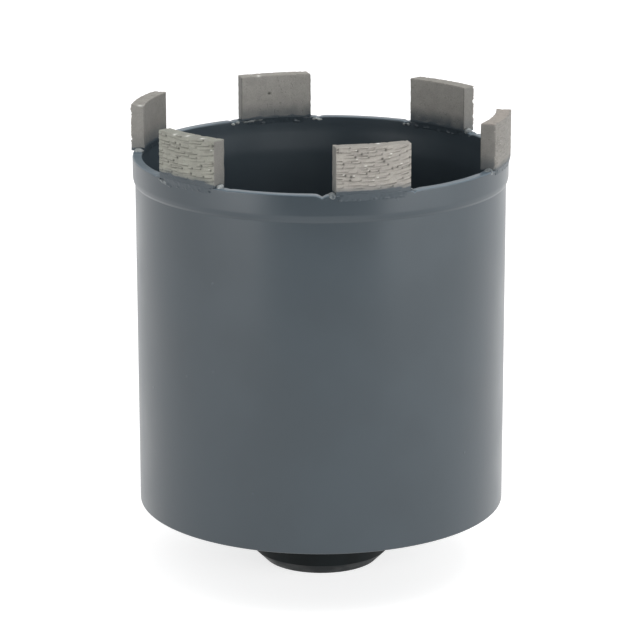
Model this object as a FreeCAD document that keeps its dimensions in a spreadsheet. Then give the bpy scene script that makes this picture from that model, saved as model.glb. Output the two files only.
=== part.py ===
import FreeCAD, Part
import os

import Sketcher

# Diamond core bit for sockets: a steel cup on a threaded hub, with six curved diamond
# segments welded to its widened rim. Millimetres and degrees.
# The origin is the centre of the hub's end face, and +Z points to the cutting edge.

SIZES = [
    ("tube_diameter", 80.0, "outside of the barrel's tube"),
    ("tube_wall", 2.0, "wall of the tube, also in the widened rim"),
    ("barrel_length", 77.4, "from the tube's lower edge to the rim's top face"),
    ("rim_expansion", 0.5, "how far the rim's wall is pressed outwards"),
    ("rim_band_height", 4.6, "straight band under the rim's top face"),
    ("shoulder_height", 1.3, "cone between the rim band and the tube"),
    ("shoulder_round", 1.2, "outer bend radius at both ends of the cone"),
    ("rim_edge_chamfer", 0.3, "broken edges of the rim's top face"),
    ("tube_end_chamfer", 0.4, "broken lower edge of the tube"),
    ("plate_thickness", 6.0, "disc that closes the tube's lower end"),
    ("plate_recess", 1.2, "disc set in from the tube's lower edge"),
    ("plate_clearance", 0.05, "radial gap between the disc and the tube"),
    ("plate_edge_chamfer", 0.5, "lead-in on the disc's upper edge"),
    ("plate_weld_leg", 1.0, "fillet weld between the disc and the tube"),
    ("hub_diameter", 30.0, "outside of the hub"),
    ("hub_projection", 14.2, "hub's end face below the tube's lower edge"),
    ("hub_chamfer", 2.5, "45 degree chamfer on the hub's end"),
    ("hub_weld_leg", 2.0, "fillet weld between the hub and the disc"),
    ("spigot_diameter", 24.0, "hub's spigot, which passes through the disc"),
    ("spigot_clearance", 0.05, "radial gap between the spigot and the disc"),
    ("thread_bore", 14.0, "tap drill bore of the M16 thread"),
    ("thread_mouth", 1.2, "45 degree chamfer at both ends of the bore"),
    ("segment_count", 6, "segments, evenly spaced"),
    ("first_segment_angle", 45.5, "middle of segment 1, counted from +X"),
    ("segment_width", 16.0, "between the segment's parallel ends"),
    ("segment_height", 10.0, "from the rim's top face to the cutting edge"),
    ("segment_thickness", 3.2, "across the curved faces, with the grit"),
    ("segment_outset", 0.1, "segment's middle outside the rim wall's middle"),
    ("segment_edge_chamfer", 0.25, "worn edges of the segment"),
    ("seam_width", 0.5, "weld seam beside the rim's wall"),
    ("seam_drop", 1.4, "weld seam down the rim's wall"),
    ("bead_radius", 1.5, "weld bead at each end of a segment"),
    ("bead_offset", 0.4, "bead's centre past the segment's end"),
    ("bead_overhang", 0.25, "bead past the faces of the rim's wall"),
]

# Radii and heights that several pieces share
TUBE_OUT = "(Sizes.tube_diameter / 2)"
TUBE_IN = "(Sizes.tube_diameter / 2 - Sizes.tube_wall)"
RIM_OUT = f"({TUBE_OUT} + Sizes.rim_expansion)"
RIM_IN = f"({TUBE_IN} + Sizes.rim_expansion)"
RIM_MIDDLE = f"({RIM_OUT} - Sizes.tube_wall / 2)"
SEGMENT_OUT = f"({RIM_MIDDLE} + Sizes.segment_outset + Sizes.segment_thickness / 2)"
SEGMENT_IN = f"({RIM_MIDDLE} + Sizes.segment_outset - Sizes.segment_thickness / 2)"
HUB_OUT = "(Sizes.hub_diameter / 2)"
SPIGOT_OUT = "(Sizes.spigot_diameter / 2)"
BORE = "(Sizes.thread_bore / 2)"
PLATE_UNDERSIDE = "(Sizes.hub_projection + Sizes.plate_recess)"
PLATE_TOP = f"({PLATE_UNDERSIDE} + Sizes.plate_thickness)"
RIM_TOP = "(Sizes.hub_projection + Sizes.barrel_length)"

doc = FreeCAD.newDocument("core_bit")
sheet = doc.addObject("Spreadsheet::Sheet", "Sizes")
for row, (name, number, note) in enumerate(SIZES, start=1):
    sheet.set(f"A{row}", name)
    sheet.set(f"B{row}", str(number))
    sheet.set(f"C{row}", note)
    sheet.setAlias(f"B{row}", name)
doc.recompute()

parts = []


def size(expression):
    """The present value of an expression on the sheet's sizes."""
    return float(sheet.evalExpression(expression.replace("Sizes.", "")))


def bind(item, **expressions):
    """Tie properties of an object to expressions on the sheet's sizes."""
    for name, expression in expressions.items():
        item.setExpression(name, expression)


def new_body(label):
    body = doc.addObject("PartDesign::Body", label)
    body.Label = label
    return body


def new_sketch(body, name, role):
    """A sketch on one of the body's own origin planes."""
    sketch = body.newObject("Sketcher::SketchObject", name)
    plane = next(item for item in body.Origin.OriginFeatures if item.Role == role)
    sketch.AttachmentSupport = (plane, [""])
    sketch.MapMode = "FlatFace"
    return sketch


def draw_outline(sketch, corners):
    """A closed outline of straight lines, each corner held at its distances from the axes."""
    places = [(size(across), size(up)) for across, up in corners]
    count = len(places)
    for index, start in enumerate(places):
        end = places[(index + 1) % count]
        sketch.addGeometry(Part.LineSegment(FreeCAD.Vector(*start, 0), FreeCAD.Vector(*end, 0)))
    for index in range(count):
        sketch.addConstraint(Sketcher.Constraint("Coincident", index, 2, (index + 1) % count, 1))
    for index, corner in enumerate(corners):
        for kind, expression, value in zip(("DistanceX", "DistanceY"), corner, places[index]):
            number = sketch.addConstraint(Sketcher.Constraint(kind, -1, 1, index, 1, value))
            sketch.setExpression(f"Constraints[{number}]", expression)


def revolve(body, name, corners):
    """A turned form: the outline in the XZ plane goes once round Z."""
    sketch = new_sketch(body, f"{name}_section", "XZ_Plane")
    draw_outline(sketch, corners)
    turned = body.newObject("PartDesign::Revolution", name)
    turned.Profile = sketch
    turned.ReferenceAxis = (sketch, ["V_Axis"])
    turned.Angle = 360
    doc.recompute()
    return turned


def round_edges(feature, radius, height):
    """Names of a turned form's circular edges of one radius at one height."""
    names = []
    for number, edge in enumerate(feature.Shape.Edges, start=1):
        curve = edge.Curve
        if not isinstance(curve, Part.Circle):
            continue
        if abs(curve.Radius - radius) < 0.001 and abs(curve.Center.z - height) < 0.001:
            names.append(f"Edge{number}")
    return names


def dress(body, kind, name, base, edges, expression):
    """A fillet or chamfer on named edges of the feature before it."""
    feature = body.newObject(f"PartDesign::{kind}", name)
    feature.Base = (base, edges)
    bind(feature, **{"Radius" if kind == "Fillet" else "Size": expression})
    doc.recompute()
    return feature


def make_barrel():
    """Tube of one wall, pressed outwards at the top to a rim band over a short cone."""
    band_foot = "(Sizes.barrel_length - Sizes.rim_band_height)"
    cone_foot = f"({band_foot} - Sizes.shoulder_height)"
    body = new_body("barrel")
    wall = revolve(body, "barrel_wall", [
        (TUBE_IN, "0"),
        (TUBE_OUT, "0"),
        (TUBE_OUT, cone_foot),
        (RIM_OUT, band_foot),
        (RIM_OUT, "Sizes.barrel_length"),
        (RIM_IN, "Sizes.barrel_length"),
        (RIM_IN, band_foot),
        (TUBE_IN, cone_foot),
    ])
    bends = round_edges(wall, size(TUBE_OUT), size(cone_foot))
    bends += round_edges(wall, size(RIM_OUT), size(band_foot))
    bent = dress(body, "Fillet", "shoulder_bends", wall, bends, "Sizes.shoulder_round")
    top = size("Sizes.barrel_length")
    rim = round_edges(bent, size(RIM_OUT), top) + round_edges(bent, size(RIM_IN), top)
    rimmed = dress(body, "Chamfer", "rim_edges", bent, rim, "Sizes.rim_edge_chamfer")
    end = round_edges(rimmed, size(TUBE_OUT), 0)
    dress(body, "Chamfer", "tube_end", rimmed, end, "Sizes.tube_end_chamfer")
    body.setExpression("Placement.Base.z", "Sizes.hub_projection")
    parts.append(body)


def make_base_plate():
    """Disc that closes the tube, with a centre hole for the hub's spigot."""
    body = new_body("base_plate")
    edge = f"({TUBE_IN} - Sizes.plate_clearance)"
    sketch = new_sketch(body, "plate_outline", "XY_Plane")
    for radius in (edge, f"({SPIGOT_OUT} + Sizes.spigot_clearance)"):
        circle = Part.Circle(FreeCAD.Vector(), FreeCAD.Vector(0, 0, 1), size(radius))
        index = sketch.addGeometry(circle)
        sketch.addConstraint(Sketcher.Constraint("Coincident", index, 3, -1, 1))
        number = sketch.addConstraint(Sketcher.Constraint("Radius", index, size(radius)))
        sketch.setExpression(f"Constraints[{number}]", radius)
    disc = body.newObject("PartDesign::Pad", "plate_disc")
    disc.Profile = sketch
    bind(disc, Length="Sizes.plate_thickness")
    doc.recompute()
    upper = round_edges(disc, size(edge), size("Sizes.plate_thickness"))
    dress(body, "Chamfer", "plate_lead_in", disc, upper, "Sizes.plate_edge_chamfer")
    body.setExpression("Placement.Base.z", PLATE_UNDERSIDE)
    parts.append(body)


def make_hub():
    """Turned hub: chamfered end, shoulder under the disc, spigot through it, tapped bore."""
    mouth = f"({BORE} + Sizes.thread_mouth)"
    body = new_body("hub")
    revolve(body, "hub_turned", [
        (mouth, "0"),
        (f"({HUB_OUT} - Sizes.hub_chamfer)", "0"),
        (HUB_OUT, "Sizes.hub_chamfer"),
        (HUB_OUT, PLATE_UNDERSIDE),
        (SPIGOT_OUT, PLATE_UNDERSIDE),
        (SPIGOT_OUT, PLATE_TOP),
        (mouth, PLATE_TOP),
        (BORE, f"({PLATE_TOP} - Sizes.thread_mouth)"),
        (BORE, "Sizes.thread_mouth"),
    ])
    parts.append(body)


def make_ring_weld(label, wall, leg, side):
    """Fillet weld in the corner between the disc's underside and a round wall.
    side is 1 where the weld lies outside the wall, and -1 where it lies inside."""
    body = new_body(label)
    revolve(body, f"{label}_bead", [
        (wall, PLATE_UNDERSIDE),
        (wall, f"({PLATE_UNDERSIDE} - {leg})"),
        (f"({wall} + {side} * {leg})", PLATE_UNDERSIDE),
    ])
    parts.append(body)


def segment_angle(number):
    """Where the middle of a segment lies round the rim, as an expression in degrees."""
    return f"(Sizes.first_segment_angle + {number - 1} * 360 / Sizes.segment_count)"


def make_segment(number):
    """Curved block with parallel ends, which follows the rim and stands proud on both sides."""
    body = new_body(f"segment_{number}")
    sketch = new_sketch(body, f"segment_{number}_outline", "XY_Plane")
    half = size("Sizes.segment_width / 2")
    ends = {}
    for name, radius in (("outer", size(SEGMENT_OUT)), ("inner", size(SEGMENT_IN))):
        ends[name] = FreeCAD.Vector((radius ** 2 - half ** 2) ** 0.5, half, 0)
    flip = FreeCAD.Vector(0, -2 * half, 0)
    centre = FreeCAD.Vector()
    up = FreeCAD.Vector(0, 0, 1)
    turn = {name: FreeCAD.Vector(1, 0, 0).getAngle(end) for name, end in ends.items()}
    outer_circle = Part.Circle(centre, up, size(SEGMENT_OUT))
    inner_circle = Part.Circle(centre, up, size(SEGMENT_IN))
    outer = sketch.addGeometry(Part.ArcOfCircle(outer_circle, -turn["outer"], turn["outer"]))
    left = sketch.addGeometry(Part.LineSegment(ends["outer"], ends["inner"]))
    inner = sketch.addGeometry(Part.ArcOfCircle(inner_circle, -turn["inner"], turn["inner"]))
    right = sketch.addGeometry(Part.LineSegment(ends["inner"] + flip, ends["outer"] + flip))
    for item in (("Coincident", outer, 3, -1, 1), ("Coincident", inner, 3, -1, 1),
                 ("Coincident", outer, 2, left, 1), ("Coincident", left, 2, inner, 2),
                 ("Coincident", inner, 1, right, 1), ("Coincident", right, 2, outer, 1),
                 ("Horizontal", left), ("Horizontal", right),
                 ("Symmetric", outer, 1, outer, 2, -1)):
        sketch.addConstraint(Sketcher.Constraint(*item))
    for expression, item in ((SEGMENT_OUT, ("Radius", outer)), (SEGMENT_IN, ("Radius", inner)),
                             ("Sizes.segment_width", ("DistanceY", outer, 1, outer, 2))):
        index = sketch.addConstraint(Sketcher.Constraint(*item, size(expression)))
        sketch.setExpression(f"Constraints[{index}]", expression)
    block = body.newObject("PartDesign::Pad", f"segment_{number}_block")
    block.Profile = sketch
    bind(block, Length="Sizes.segment_height")
    doc.recompute()
    worn = []
    for index, edge in enumerate(block.Shape.Edges, start=1):
        if edge.BoundBox.ZMax > size("Sizes.segment_height") / 2:
            worn.append(f"Edge{index}")
    dress(body, "Chamfer", f"segment_{number}_edges", block, worn, "Sizes.segment_edge_chamfer")
    body.Placement.Rotation = FreeCAD.Rotation(up, 1)
    body.setExpression("Placement.Rotation.Angle", segment_angle(number))
    body.setExpression("Placement.Base.z", RIM_TOP)
    parts.append(body)
    return body


def make_rim_wall():
    """Wall of the rim band with its full corners, which bounds the welds that run over it."""
    cylinders = []
    for name, radius in (("rim_outside", RIM_OUT), ("rim_inside", RIM_IN)):
        cylinder = doc.addObject("Part::Cylinder", name)
        bind(cylinder, Radius=radius, Height="Sizes.rim_band_height")
        cylinder.setExpression("Placement.Base.z", f"{RIM_TOP} - Sizes.rim_band_height")
        cylinders.append(cylinder)
    wall = doc.addObject("Part::Cut", "rim_wall")
    wall.Base, wall.Tool = cylinders
    return wall


def make_segment_weld(number, rim_wall, segment):
    """Weld round a segment's foot: a seam down each face of the rim, and at each end a bead
    that runs across the rim. The rim and the segment bound it."""
    body = new_body(f"weld_blank_{number}")
    section = new_sketch(body, f"seam_{number}_section", "XZ_Plane")
    foot = "(0 - Sizes.seam_drop)"
    draw_outline(section, [
        (f"({RIM_IN} - Sizes.seam_width)", "0"),
        (RIM_IN, foot),
        (RIM_OUT, foot),
        (f"({RIM_OUT} + Sizes.seam_width)", "0"),
    ])
    seam = body.newObject("PartDesign::Revolution", f"seam_{number}")
    seam.Profile = section
    seam.ReferenceAxis = (section, ["V_Axis"])
    seam.Midplane = True
    reach = "(Sizes.segment_width / 2 + Sizes.bead_offset)"
    bind(seam, Angle=f"2 * asin({reach} / {RIM_MIDDLE})")
    start = f"(sqrt({RIM_IN}^2 - {reach}^2) - Sizes.bead_overhang)"
    end = f"(sqrt({RIM_OUT}^2 - {reach}^2) + Sizes.bead_overhang)"
    ends = new_sketch(body, f"beads_{number}_section", "YZ_Plane")
    for side in (1, -1):
        centre = FreeCAD.Vector(side * size(reach), 0, 0)
        circle = Part.Circle(centre, FreeCAD.Vector(0, 0, 1), size("Sizes.bead_radius"))
        index = ends.addGeometry(circle)
        ends.addConstraint(Sketcher.Constraint("PointOnObject", index, 3, -1))
        for kind, expression in ((("DistanceX", -1, 1, index, 3), f"{side} * {reach}"),
                                 (("Radius", index), "Sizes.bead_radius")):
            item = ends.addConstraint(Sketcher.Constraint(*kind, size(expression)))
            ends.setExpression(f"Constraints[{item}]", expression)
    ends.AttachmentOffset.Base = FreeCAD.Vector(0, 0, size(start))
    ends.setExpression("AttachmentOffset.Base.z", start)
    beads = body.newObject("PartDesign::Pad", f"beads_{number}")
    beads.Profile = ends
    bind(beads, Length=f"{end} - {start}")
    body.Placement.Rotation = FreeCAD.Rotation(FreeCAD.Vector(0, 0, 1), 1)
    body.setExpression("Placement.Rotation.Angle", segment_angle(number))
    body.setExpression("Placement.Base.z", RIM_TOP)
    off_rim = doc.addObject("Part::Cut", f"weld_off_rim_{number}")
    off_rim.Base = body
    off_rim.Tool = rim_wall
    weld = doc.addObject("Part::Cut", f"segment_weld_{number}")
    weld.Base = off_rim
    weld.Tool = segment
    weld.Label = f"segment_weld_{number}"
    parts.append(weld)


make_barrel()
make_base_plate()
make_hub()
make_ring_weld("plate_weld", TUBE_IN, "Sizes.plate_weld_leg", -1)
make_ring_weld("hub_weld", HUB_OUT, "Sizes.hub_weld_leg", 1)
rim_wall = make_rim_wall()
for number in range(1, int(size("Sizes.segment_count")) + 1):
    make_segment_weld(number, rim_wall, make_segment(number))
doc.recompute()

for item in doc.Objects:
    if "Invalid" in item.State or "Error" in item.State:
        raise RuntimeError(f"{item.Label} failed: {item.State}")
for part in parts:
    if part.Shape.isNull() or not part.Shape.isValid():
        raise RuntimeError(f"{part.Label} has no valid shape")

os.makedirs("parts", exist_ok=True)
for part in parts:
    part.Shape.exportStep(f"parts/{part.Label}.step")
    print(part.Label, len(part.Shape.Solids), round(part.Shape.Volume, 2))
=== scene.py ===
import itertools
import math
from typing import NamedTuple

import bpy
import numpy as np
from bpy.props import FloatProperty, FloatVectorProperty, IntProperty, PointerProperty
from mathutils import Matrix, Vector


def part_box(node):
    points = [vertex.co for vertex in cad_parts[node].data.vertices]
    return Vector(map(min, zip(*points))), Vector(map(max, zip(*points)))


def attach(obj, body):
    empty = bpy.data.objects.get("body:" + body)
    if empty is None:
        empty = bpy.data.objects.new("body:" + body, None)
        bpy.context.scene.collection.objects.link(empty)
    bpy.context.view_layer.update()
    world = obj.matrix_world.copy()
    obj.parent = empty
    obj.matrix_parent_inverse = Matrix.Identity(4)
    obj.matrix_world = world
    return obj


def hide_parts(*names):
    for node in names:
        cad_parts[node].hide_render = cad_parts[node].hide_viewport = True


bl_info = {
    "name": "Diamond core bit",
    "version": (1, 0, 0),
    "blender": (4, 5, 0),
    "location": "3D View > Sidebar > Core bit",
    "description": "Dresses the packed core bit in paint, welds, thread and worn diamond segments",
    "category": "Object",
}

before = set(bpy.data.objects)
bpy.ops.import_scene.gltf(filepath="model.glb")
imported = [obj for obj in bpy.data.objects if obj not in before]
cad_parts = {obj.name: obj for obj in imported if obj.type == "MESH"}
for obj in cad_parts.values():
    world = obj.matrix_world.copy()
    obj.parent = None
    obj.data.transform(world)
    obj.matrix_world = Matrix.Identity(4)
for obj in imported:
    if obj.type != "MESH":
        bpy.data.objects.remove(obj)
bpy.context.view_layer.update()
MM = 0.001
USUAL_MARKS = 92


def turned_node(name):
    """Radius, lowest and highest height of a turned CAD node, in metres."""
    low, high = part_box(name)
    return high.x, low.z, high.z


RIM_RADIUS, TUBE_FOOT, RIM_TOP = turned_node("barrel")
HUB_RADIUS, HUB_END, HUB_TOP = turned_node("hub")
PLATE_RADIUS, PLATE_UNDERSIDE, PLATE_TOP = turned_node("base_plate")
SEGMENT_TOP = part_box("segment_1")[1].z


def length(name, millimetres, description):
    """A size that the sidebar shows as a length."""
    return FloatProperty(name=name, description=description, default=millimetres * MM,
                         unit="LENGTH", subtype="DISTANCE")


def finish(name, default, description):
    """A finish's main colour."""
    return FloatVectorProperty(name=name, description=description, default=default, subtype="COLOR")


class BarrelSizes(bpy.types.PropertyGroup):
    wall: length("Wall", 2.0, "Wall of the tube")
    rim_expansion: length("Rim expansion", 0.5, "How far the rim is pressed out")
    band: length("Rim band", 4.6, "Straight band under the rim's top")
    shoulder: length("Shoulder", 1.3, "Cone between band and tube")
    bend: length("Bend", 3.4, "Bend radius between band and cone")
    waist: length("Waist", 0.5, "Bend radius where the cone turns in more")
    crease: length("Crease", 0.25, "Bend radius between cone and tube")
    inner_bend: length("Inner bend", 19.0, "Bend radius inside the cone")
    inner_ease: length("Inner ease", 1.8, "Extra length of the cone's inner side")
    rim_edge: length("Rim edge", 0.3, "Worn radius of the rim's edges")
    foot_edge: length("Foot edge", 0.4, "Radius on the tube's lower edge")


class HubSizes(bpy.types.PropertyGroup):
    chamfer: length("Chamfer", 2.5, "Chamfer on the hub's end")
    spigot: length("Spigot radius", 12.0, "Radius inside the disc")
    thread_root: length("Thread root", 8.0, "Largest radius of the thread")
    thread_crest: length("Thread crest", 6.92, "Smallest radius of the thread")
    pitch: length("Pitch", 2.0, "Pitch of the thread")
    mouth: length("Mouth", 8.2, "Radius of the bore's chamfered mouth")
    weld_leg: length("Weld leg", 2.0, "Leg of the weld round the hub")
    rim_weld_leg: length("Disc weld leg", 1.0, "Leg of the weld round the disc")


class SegmentSizes(bpy.types.PropertyGroup):
    count: IntProperty(name="Segments", description="Segments round the rim", default=6)
    first: FloatProperty(name="First angle", description="Middle of segment 1 from +X",
                         default=math.radians(45.5), unit="ROTATION", subtype="ANGLE")
    width: length("Width", 16.0, "Between the parallel ends")
    inner: length("Inner radius", 38.0, "Radius of the inner face")
    outer: length("Outer radius", 40.94, "Radius of the ground outer face, without its relief")
    grit: length("Grit", 0.18, "How far the tails behind the grit stand proud")
    edge: length("Edge", 0.12, "Worn radius of the edges")


class Colours(bpy.types.PropertyGroup):
    paint: finish("Paint", (0.047, 0.063, 0.076), "Satin slate grey paint")
    hub: finish("Hub", (0.0055, 0.0075, 0.0082), "Blackened steel")
    sinter: finish("Sintered metal", (0.37, 0.35, 0.318), "Ground sintered matrix")
    sinter_side: finish("Sintered sides", (0.22, 0.215, 0.20), "Unground sintered faces")
    bead: finish("Bead", (0.45, 0.48, 0.475), "Weld metal that the paint leaves bare")


class SegmentPlan(NamedTuple):
    """What one segment looks like, in mm. Places on it are (across, up) from the middle of its
    foot, and across goes towards the cutting direction.

    curl bends its grinding marks upwards, rough is how deep they are, and marks how many there
    are at most. pits and glints are grains that lead some of them: the pits get painted shade
    and the glints a painted glint. ragged is how deep its upright edges are dented. border is
    how high the paint reaches at its two ends, mist how much overspray dusts the inner face,
    darker towards the foot with painted shade besides, and bare how much of the beads' metal the
    paint leaves bare. turn and inset set the segment off its place, in degrees and inwards, and
    grow makes it wider and thicker. tint, top, inner and end scale the colour of its outer, top,
    inner and end faces: painted light and shade, and for the outer face its own tone as well. A
    corner is (side, radius, power), a chip (across, up, size), and a spark, a crystal on the top
    face that gets a painted glint, (across, through). A bead is (side, radius, how far outwards,
    height above the rim, stretch across the rim), a dip in the rim (side, distance past the
    segment's end, depth, width), and a run of spatter (outwards, first place, last place, radius,
    how bare)."""
    curl: float
    border: tuple
    beads: tuple
    dips: tuple = ((-1, 2.4, 0.3, 0.6), (1, 2.2, 0.25, 0.5))
    turn: float = 0.0
    inset: float = 0.0
    grow: tuple = (0.0, 0.0)
    # Face colour factors: painted light and shade, and for the outer face also its own tone.
    tint: tuple = (1.0, 1.0, 1.0)
    top: tuple = (0.92, 0.93, 0.93)
    inner: float = 1.0
    end: float = 0.75
    rough: float = 1.0
    marks: int = USUAL_MARKS
    ragged: float = 0.0
    pits: tuple = ()
    glints: tuple = ()
    corners: tuple = ()
    chips: tuple = ()
    sparks: tuple = ()
    runs: tuple = ()
    bare: float = 1.0
    mist: float = 0.62


PLANS = (
    SegmentPlan(
        curl=0.8, border=(0.7, 1.0), turn=0.2, inset=-0.18, grow=(0.2, 0.3),
        mist=0.8, top=(0.84, 0.85, 0.85), inner=1.16, end=0.73, ragged=0.45,
        beads=((1, 0.5, -0.4, 0.0, 1.2), (-1, 0.85, -0.35, 0.2, 1.0)),
        runs=((-1.0, (8.9, -0.75), (9.8, -0.85), 0.38, 1.0),
              (-1.2, (4.6, -0.95), (4.2, -1.0), 0.13, 0.5),
              (-1.2, (-2.2, -1.0), (-2.9, -1.1), 0.13, 0.5),
              (-0.7, (-8.9, -0.5), (-9.8, -0.75), 0.42, 0.8))),
    SegmentPlan(
        curl=0.9, border=(0.8, 0.8), turn=0.2, inset=0.09, grow=(0.3, 0.1), mist=0.6,
        inner=1.22, bare=0.45,
        beads=((1, 0.55, -0.3, -0.05, 1.1), (-1, 0.5, -0.3, -0.05, 1.2)),
        runs=((-1.2, (7.3, -0.5), (3.2, -0.15), 0.27, 0.7),
              (-0.95, (9.0, -0.45), (10.1, -0.6), 0.46, 1.0),
              (-0.95, (-8.9, -0.55), (-10.6, -0.6), 0.40, 1.0)),
        pits=((1.4, 5.75),), sparks=((3.8, 0.25),), corners=((-1, 0.35, 2.0),)),
    SegmentPlan(
        curl=0.6, border=(0.9, 0.9), turn=-0.32, inset=-0.08, top=(0.88, 0.89, 0.89),
        inner=0.86, end=1.10,
        beads=((1, 0.75, -0.15, 0.1, 1.35), (1, 0.4, -1.0, 0.2, 1.0),
               (-1, 0.8, 0.0, 0.2, 1.2)),
        sparks=((7.8, 0.9),), chips=((8.0, 10.0, 0.3),), ragged=0.55, bare=0.8),
    SegmentPlan(
        curl=0.8, border=(1.5, 0.9), turn=0.6, inset=0.19, grow=(0.2, 0.2),
        tint=(0.85, 0.90, 0.86), top=(0.84, 0.90, 0.86), end=0.80, marks=74,
        beads=((1, 0.75, -0.1, 0.15, 1.2), (1, 0.4, -0.8, 0.4, 1.0)),
        dips=((-1, 2.2, 0.2, 0.5), (1, 2.6, 0.12, 0.5)),
        runs=((1.15, (-8.2, -0.6), (-6.2, -1.15), 0.36, 0.6),
              (1.1, (-6.2, -1.2), (-4.4, -1.5), 0.2, 0.45)),
        pits=((-2.4, 8.3), (-1.9, 7.5), (-1.4, 7.3), (-4.8, 3.9), (-3.1, 4.5), (-1.9, 5.3),
              (-0.5, 3.2), (2.0, 2.5), (4.8, 4.5), (7.7, 5.35), (7.15, 3.8), (5.4, 2.25)),
        glints=((7.6, 7.9),), sparks=((-2.6, 2.8), (0.6, 2.2), (4.5, 2.0)),
        chips=((7.7, 8.9, 0.5),)),
    SegmentPlan(
        curl=1.25, border=(0.9, 1.0), turn=0.17, inset=0.15,
        tint=(0.95, 0.95, 0.95), bare=0.62,
        beads=((-1, 0.8, 0.2, -0.15, 1.45), (1, 0.42, 0.2, 0.1, 1.6)),
        runs=((0.8, (-8.9, -0.35), (-9.8, -0.85), 0.42, 0.45),),
        dips=((-1, 2.5, 0.6, 0.7), (1, 0.75, 0.5, 0.45), (1, 1.9, 0.16, 0.5)),
        pits=((-6.67, 6.57), (-7.75, 9.57), (-7.79, 8.97), (-3.81, 9.18), (-2.97, 8.48),
              (-4.3, 7.92), (2.1, 9.12), (1.33, 7.29), (1.74, 6.77), (2.63, 6.0),
              (3.54, 5.14), (-1.32, 4.88), (-1.92, 4.38), (-5.33, 3.16), (-6.34, 4.16),
              (-5.17, 3.9), (7.38, 7.12), (4.7, 5.39)),
        glints=((3.53, 8.06), (-3.65, 7.29), (-1.84, 5.84), (-4.32, 3.89),
                (0.71, 3.29), (-0.18, 2.83), (5.83, 5.81)),
        sparks=((1.3, 0.7),)),
    SegmentPlan(
        curl=0.8, border=(0.4, 0.25), turn=-0.51, inset=0.23, grow=(0.0, 0.28), ragged=0.4,
        tint=(0.67, 0.68, 0.69), top=(0.98, 0.94, 0.93), end=0.86, rough=0.4, mist=1.3,
        bare=0.75, beads=((-1, 0.9, 0.12, -0.12, 1.15), (1, 0.8, 0.0, 0.2, 1.1)),
        dips=((-1, 2.8, 0.1, 0.5), (1, 2.2, 0.25, 0.5)),
        pits=((-7.2, 6.6), (-7.1, 4.2))),
)


def start_clean(*chosen):
    """Object mode with only the chosen pieces selected, and the first of them active."""
    if bpy.context.mode != "OBJECT":
        bpy.ops.object.mode_set(mode="OBJECT")
    bpy.ops.object.select_all(action="DESELECT")
    for piece in chosen:
        piece.select_set(True)
    if chosen:
        bpy.context.view_layer.objects.active = chosen[0]


def edit_all(kind):
    """Edit mode with the whole active mesh selected, as VERT, EDGE or FACE."""
    bpy.ops.object.mode_set(mode="EDIT")
    bpy.ops.mesh.select_mode(type=kind)
    bpy.ops.mesh.select_all(action="SELECT")


def settle():
    """Leave edit mode and put the active piece's place into its mesh."""
    if bpy.context.mode != "OBJECT":
        bpy.ops.object.mode_set(mode="OBJECT")
    bpy.ops.object.transform_apply(location=True, rotation=True, scale=True)
    return bpy.context.active_object


def modify(piece, kind, **settings):
    """Apply a modifier with these settings to the active piece."""
    modifier = piece.modifiers.new(kind.lower(), kind)
    for name, value in settings.items():
        setattr(modifier, name, value)
    bpy.ops.object.modifier_apply(modifier=modifier.name)


def face_outwards(piece):
    start_clean(piece)
    edit_all("FACE")
    bpy.ops.mesh.normals_make_consistent(inside=False)
    settle()


def smooth(piece, angle=math.radians(40)):
    start_clean(piece)
    bpy.ops.object.shade_smooth_by_angle(angle=angle)


def put_on(piece, name, node, material):
    """Name a finished piece, give it its finish and let it stand for its CAD node."""
    piece.name = name
    piece.data.name = name
    piece.data.materials.clear()
    piece.data.materials.append(material)
    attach(piece, "root")
    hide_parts(node)


def points_of(piece):
    """The piece's vertices in mm, one row each."""
    flat = np.empty(len(piece.data.vertices) * 3, np.float32)
    piece.data.vertices.foreach_get("co", flat)
    return flat.reshape(-1, 3).astype(float) / MM


def place_points(piece, points):
    piece.data.vertices.foreach_set("co", (points * MM).astype(np.float32).ravel())
    piece.data.update()


def store(piece, name, values):
    """Keep a number or a vector for each vertex, for the material to read."""
    values = np.asarray(values, np.float32)
    kind, key = ("FLOAT_VECTOR", "vector") if values.ndim == 2 else ("FLOAT", "value")
    attribute = piece.data.attributes.new(name, kind, "POINT")
    attribute.data.foreach_set(key, values.ravel())


def unevenness(places, cell, seed):
    """Smooth seeded noise from -1 to 1, with bumps about one cell wide. The places are rows of
    coordinates, or a tuple of columns."""
    side = 64
    if isinstance(places, tuple):
        places = np.column_stack(places)
    places = places / cell + 1000.0
    table = np.random.default_rng(seed).uniform(-1, 1, (side,) * places.shape[1])
    base = np.floor(places).astype(int)
    part = places - base
    part = part * part * (3 - 2 * part)
    total = np.zeros(len(places))
    for corner in itertools.product((0, 1), repeat=places.shape[1]):
        weight = np.prod(np.where(corner, part, 1 - part), axis=1)
        total += weight * table[tuple(((base + corner) % side).T)]
    return total


def bell(*distances):
    """1 where every distance is 0, and fading to nothing past 1."""
    return np.exp(-sum(distance ** 2 for distance in distances))


def swung(ahead, across, angle):
    """Both coordinates after a turn round the axis."""
    cos, sin = math.cos(angle), math.sin(angle)
    return ahead * cos - across * sin, ahead * sin + across * cos


def fade(value, low, high):
    """0 at low and 1 at high, with a soft start and end."""
    step = np.clip((value - low) / (high - low), 0, 1)
    return step * step * (3 - 2 * step)


def rounded(corners, steps=6):
    """Outline of (radius, height) points, where a corner's third number is its bend radius."""
    points = []
    count = len(corners)
    for index, (radius, height, bend) in enumerate(corners):
        here = Vector((radius, height))
        if not bend:
            points.append(here)
            continue
        back, ahead = ((Vector(corners[place % count][:2]) - here).normalized()
                       for place in (index - 1, index + 1))
        half = back.angle(ahead) / 2
        centre = here + (back + ahead).normalized() * (bend / math.sin(half))
        first, last = (here + way * (bend / math.tan(half)) - centre for way in (back, ahead))
        turn = math.atan2(first.x * last.y - first.y * last.x, first.dot(last))
        for step in range(steps + 1):
            points.append(centre + Vector(swung(first.x, first.y, turn * step / steps)))
    return points


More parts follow.
